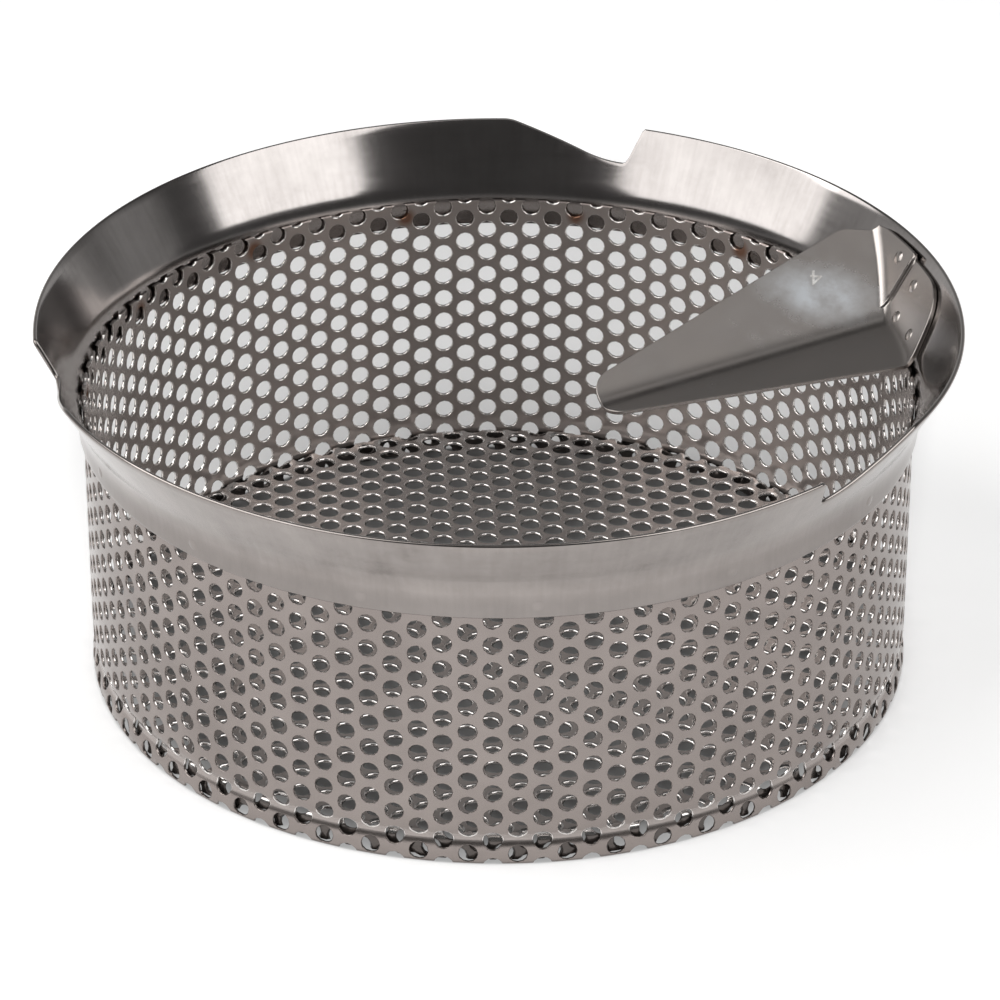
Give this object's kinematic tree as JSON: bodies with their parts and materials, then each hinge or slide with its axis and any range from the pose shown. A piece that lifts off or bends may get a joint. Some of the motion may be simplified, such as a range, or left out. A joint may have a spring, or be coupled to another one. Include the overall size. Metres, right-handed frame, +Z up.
{
  "type": "food mill sieve",
  "caption": "Round perforated steel drum sieve with a recessed perforated floor, a flared collar with bayonet notches and a folded inner deflector, for straining food in a hand mill.",
  "frame": {"origin": "centre of the circle that the drum's lower edge stands on", "axes": "+Z up along the drum's axis, +X towards the side that carries the deflector, -Y towards the viewer of the picture"},
  "size_m": [0.2032, 0.2032, 0.083],
  "materials": {
    "perforated_steel": "punched stainless sheet, satin, warm grey",
    "collar_steel": "rolled stainless sheet, satin outside and bright inside the lip",
    "deflector_steel": "folded stainless sheet, satin"
  },
  "bodies": {
    "root": {"side_wall": "perforated_steel", "floor_disc": "perforated_steel", "rim_collar": "collar_steel", "deflector": "deflector_steel"}
  },
  "joints": []
}
